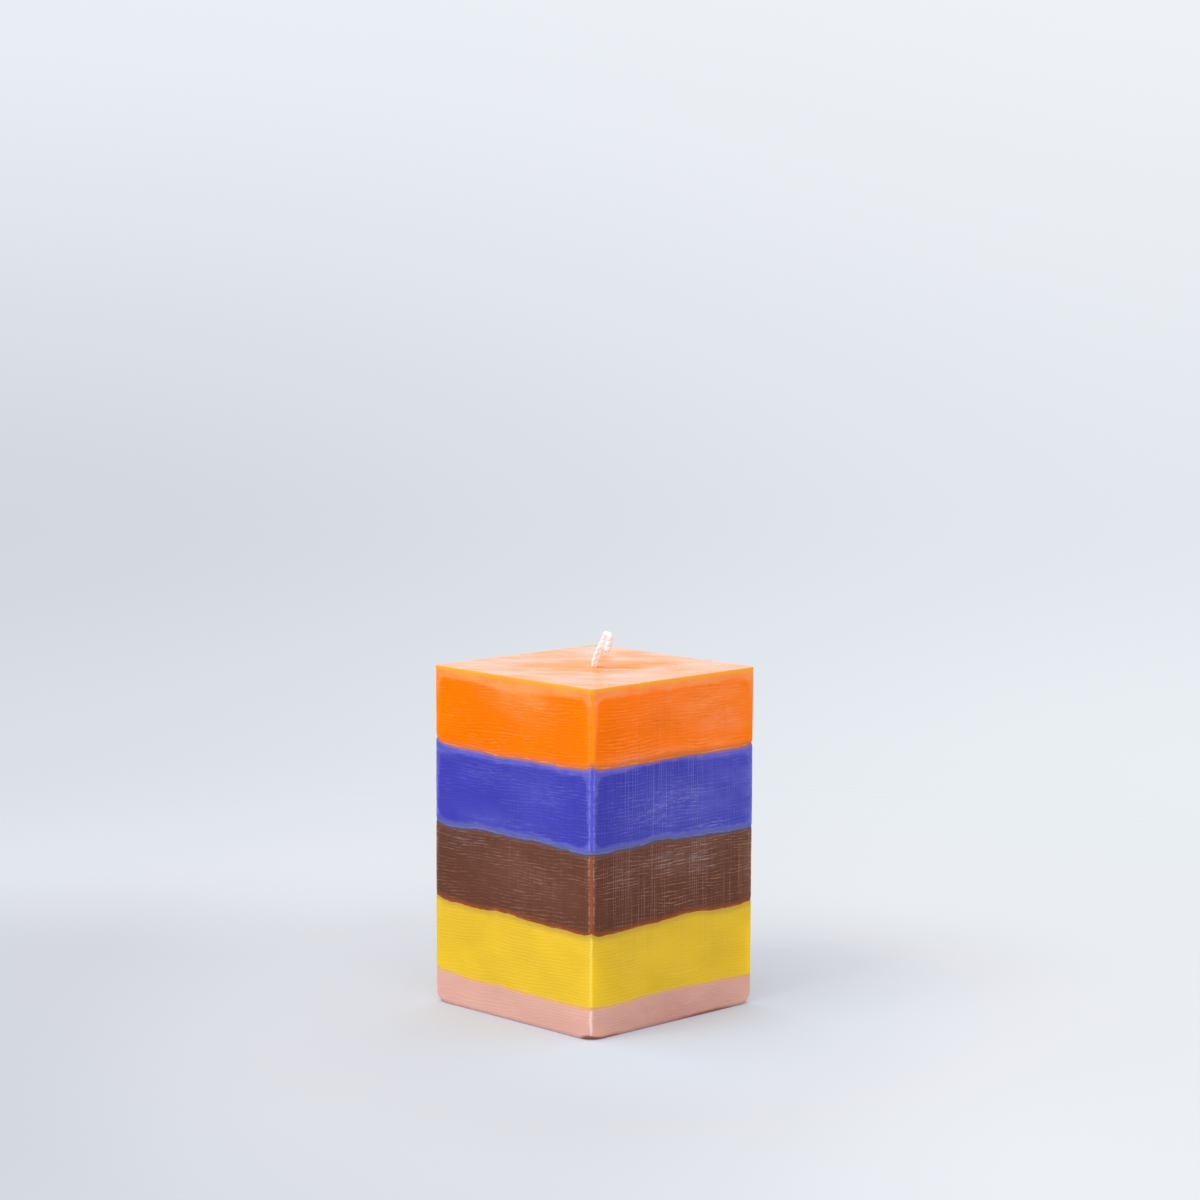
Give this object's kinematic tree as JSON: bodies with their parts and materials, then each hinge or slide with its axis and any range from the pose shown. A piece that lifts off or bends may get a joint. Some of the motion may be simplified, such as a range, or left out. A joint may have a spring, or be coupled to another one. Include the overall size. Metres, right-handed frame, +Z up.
{
  "type": "candle",
  "caption": "Square pillar candle poured in coloured wax bands, with a round top-up pool, a braided wick folded over at its tip and a sheet-metal sustainer under the base.",
  "frame": {"origin": "centre of the wax block's footprint, on its base plane", "axes": "+Z up along the block's height, +X and +Y square to its walls; the upright corner seen in front is at -X, -Y"},
  "size_m": [0.0704, 0.0704, 0.1172],
  "materials": {
    "pink_wax": "satin poured wax",
    "yellow_wax": "satin poured wax",
    "brown_wax": "satin poured wax",
    "blue_wax": "satin poured wax",
    "orange_wax": "satin poured wax",
    "pool_wax": "satin poured wax",
    "wick_cotton": "braided cotton",
    "sustainer_steel": "tinned"
  },
  "bodies": {
    "root": {"foot_pour_pink": "pink_wax", "pour_yellow": "yellow_wax", "pour_brown": "brown_wax", "pour_blue": "blue_wax", "top_pour_orange": "orange_wax", "top_up_pool": "pool_wax", "wick": "wick_cotton", "wick_sustainer": "sustainer_steel"}
  },
  "joints": []
}
